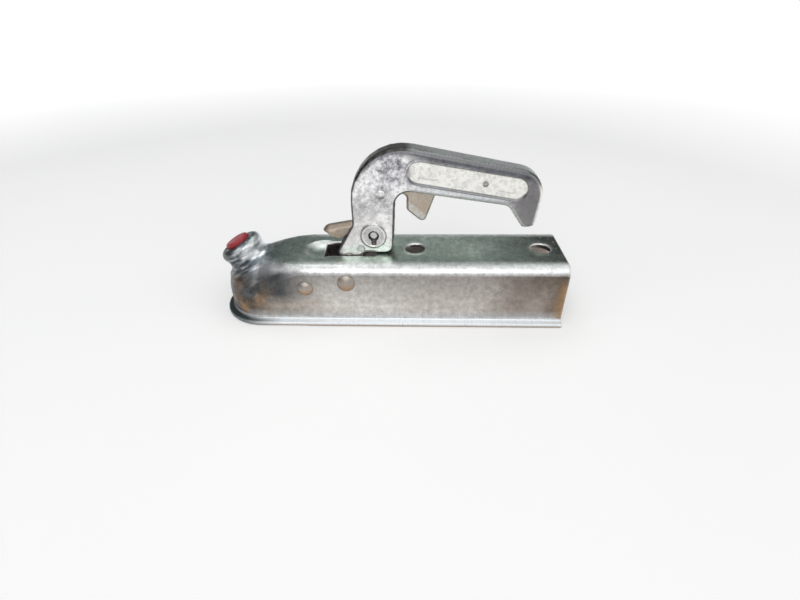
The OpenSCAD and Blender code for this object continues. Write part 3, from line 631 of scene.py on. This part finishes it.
def handle_beads():
    """On each cheek, the rim round the pin and the lip round the recess."""
    rim, lip = stadium((PIN_PLACE, PIN_PLACE), PIN_RIM_R), stadium(RECESS_ENDS, LIP_R)
    return [bead(points, side * (CHEEK_Y + out), radius)
            for side in (-1, 1)
            for points, out, radius in ((rim, 0.2 * MM, 0.9 * MM), (lip, -0.4 * MM, 1.0 * MM))]


def with_beads(mesh, beads):
    """The mesh with the beads added to it as loose parts, which the voxel remesh then joins."""
    joined = bmesh.new()
    for part in (mesh, *beads):
        joined.from_mesh(part)
    joined.to_mesh(mesh)
    joined.free()
    return mesh


def pressed(node, voxel, steps, soft=None, soft_steps=0, beads=()):
    """A pressed sheet piece in place of its solid: the same form with the rolled, softened edges of real sheet."""
    mesh = with_beads(frame["nodes"][node].data.copy(), beads)
    obj = bpy.data.objects.new(node + "_pressing", mesh)
    bpy.context.scene.collection.objects.link(obj)
    add_modifier(obj, "WELD", merge_threshold=PRESSING_WELD)
    add_modifier(obj, "REMESH", mode="VOXEL", voxel_size=voxel, adaptivity=0.0)
    apply_modifiers(obj)
    add_modifier(obj, "SMOOTH", factor=0.5, iterations=steps)
    if soft:
        group = obj.vertex_groups.new(name="soft")
        group.add([v.index for v in obj.data.vertices if soft(v.co)], 1.0, "REPLACE")
        add_modifier(obj, "SMOOTH", factor=0.5, iterations=soft_steps, vertex_group="soft")
    apply_modifiers(obj)
    obj.vertex_groups.clear()
    triangles = sum(len(p.vertices) - 2 for p in obj.data.polygons)
    if triangles > MOST_TRIANGLES:
        add_modifier(obj, "DECIMATE", ratio=MOST_TRIANGLES / triangles)
        apply_modifiers(obj)
    shade_smooth(obj.data)
    set_material(obj, SLOTS[node])
    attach(obj, BODY_OF[node])
    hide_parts(node)


def bent_spring(node):
    """A spring whose bail goes along with one body while its coils stay on another: its wire, welded and smooth-shaded
    in place of its solid, is attached to neither.
    """
    obj = bpy.data.objects.new(node + "_wire", frame["nodes"][node].data.copy())
    bpy.context.scene.collection.objects.link(obj)
    add_modifier(obj, "WELD", merge_threshold=NODE_WELD)
    apply_modifiers(obj)
    shade_smooth(obj.data)
    set_material(obj, SLOTS[node])
    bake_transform(obj)
    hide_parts(node)


def dress_node(name):
    """A solid kept as it is, with its sharp edges broken by a small bevel."""
    obj = frame["nodes"][name]
    shade_smooth(obj.data)
    add_modifier(obj, "WELD", merge_threshold=NODE_WELD)
    add_modifier(obj, "BEVEL", width=BROKEN_EDGE, segments=2, limit_method="ANGLE",
                 angle_limit=math.radians(BROKEN_ANGLE), harden_normals=True)
    set_material(obj, SLOTS[name])


def make_camera():
    yaw, pitch, roll = (math.radians(a) for a in (CAMERA_YAW, CAMERA_PITCH, CAMERA_ROLL))
    forward = Vector((-math.sin(yaw) * math.cos(pitch), math.cos(yaw) * math.cos(pitch), -math.sin(pitch)))
    level = Vector((math.cos(yaw), math.sin(yaw), 0.0))
    above = level.cross(forward)
    right = math.cos(roll) * level + math.sin(roll) * above
    up = math.cos(roll) * above - math.sin(roll) * level
    camera = bpy.data.objects.new("camera", bpy.data.cameras.new("camera"))
    bpy.context.scene.collection.objects.link(camera)
    turn = Matrix((right, up, -forward)).transposed().to_4x4()
    camera.matrix_world = Matrix.Translation(CAMERA_PLACE) @ turn
    camera.data.lens = CAMERA_LENS
    camera.data.sensor_width = CAMERA_SENSOR
    camera.data.clip_start = CAMERA_NEAR
    bpy.context.scene.camera = camera


def make_lamp(name, place, target, size, power, color):
    data = bpy.data.lights.new(name, "AREA")
    data.shape = "RECTANGLE"
    data.size, data.size_y = size
    data.energy = power
    data.color = color
    lamp = bpy.data.objects.new(name, data)
    lamp.location = place
    lamp.rotation_mode = "QUATERNION"
    lamp.rotation_quaternion = (Vector(target) - Vector(place)).to_track_quat("-Z", "Y")
    bpy.context.scene.collection.objects.link(lamp)


def make_world():
    """A studio for the plating to mirror: bright on the near side, dark low down on the far side and on the left."""
    world = bpy.data.worlds.new("studio")
    bpy.context.scene.world = world
    world.use_nodes = True
    n = Tree(world.node_tree)
    across, away, height = n.parts(n.add("ShaderNodeTexCoord").outputs["Generated"])
    near_or_far = n.blend(n.rise(away, NEAR_TO_FAR), n.ramp(height, STUDIO_NEAR), n.ramp(height, STUDIO_FAR))
    lit = n.blend(1.0, near_or_far, n.remap(across, STUDIO_LEFT, 1.0, LEFT_TO_RIGHT), "MULTIPLY")
    seen = n.add("ShaderNodeLightPath").outputs["Is Camera Ray"]
    n.link(n.blend(seen, lit, BACKGROUND), n.tree.nodes["Background"].inputs["Color"])


def make_floor():
    mesh = bpy.data.meshes.new("floor")
    half = FLOOR_SIZE / 2
    mesh.from_pydata([(x, y, FLOOR_Z) for x, y in ((-half, -half), (half, -half), (half, half), (-half, half))],
                     [], [(0, 1, 2, 3)])
    floor = bpy.data.objects.new("floor", mesh)
    bpy.context.scene.collection.objects.link(floor)
    n = Material("floor")
    n.finish(n.blend(n.remap(n.noise(3, 2), 0.0, 1.0), *FLOOR_COLORS), n.remap(n.noise(40, 2), 0.7, 0.8), metal=0.0)
    n.shader.inputs["Specular IOR Level"].default_value = 0.0
    rays = n.add("ShaderNodeLightPath")
    shown = n.maths("MAXIMUM", rays.outputs["Is Camera Ray"], rays.outputs["Is Glossy Ray"])
    distance = n.add("ShaderNodeVectorMath", operation="LENGTH")
    n.link(n.place, distance.inputs[0])
    glow = n.remap(distance.outputs["Value"], FLOOR_GLOW, 1.0, FLOOR_FADE)
    n.shader.inputs["Emission Color"].default_value = (1.0, 1.0, 1.0, 1.0)
    n.link(n.times(shown, glow), n.shader.inputs["Emission Strength"])

    # Seen from below the floor is clear, so that it doesn't hide the underside
    through = n.add("ShaderNodeMixShader")
    n.link(n.add("ShaderNodeNewGeometry").outputs["Backfacing"], through.inputs["Fac"])
    n.link(n.shader.outputs["BSDF"], through.inputs[1])
    n.link(n.add("ShaderNodeBsdfTransparent").outputs["BSDF"], through.inputs[2])
    n.link(through.outputs["Shader"], n.tree.nodes["Material Output"].inputs["Surface"])
    floor.data.materials.append(n.material)


make_camera()
make_world()
make_floor()
for lamp_values in LAMPS:
    make_lamp(*lamp_values)

pressed("body_shell", 0.8 * MM, 4, soft=lambda p: p.x < SHOULDER_REAR, soft_steps=14)
pressed("handle_shell", 0.5 * MM, 4, soft=lambda p: p.x > HOOK_X or (abs(p.y) < SOFT_HALF and p.z > SOFT_Z),
        soft_steps=40, beads=handle_beads())
pressed("catch_lever", 0.45 * MM, 4)
pressed("jaw_shell", 0.5 * MM, 5)
pressed("jaw_rivet", 0.4 * MM, 3)
pressed("lever_rivet", 0.4 * MM, 3)

bent_spring("return_spring")

REPLACED = ("body_shell", "handle_shell", "catch_lever", "jaw_shell", "jaw_rivet", "lever_rivet", "return_spring")
for node_name in frame["nodes"]:
    if node_name not in REPLACED:
        dress_node(node_name)

bpy.context.scene.view_settings.view_transform = "Standard"
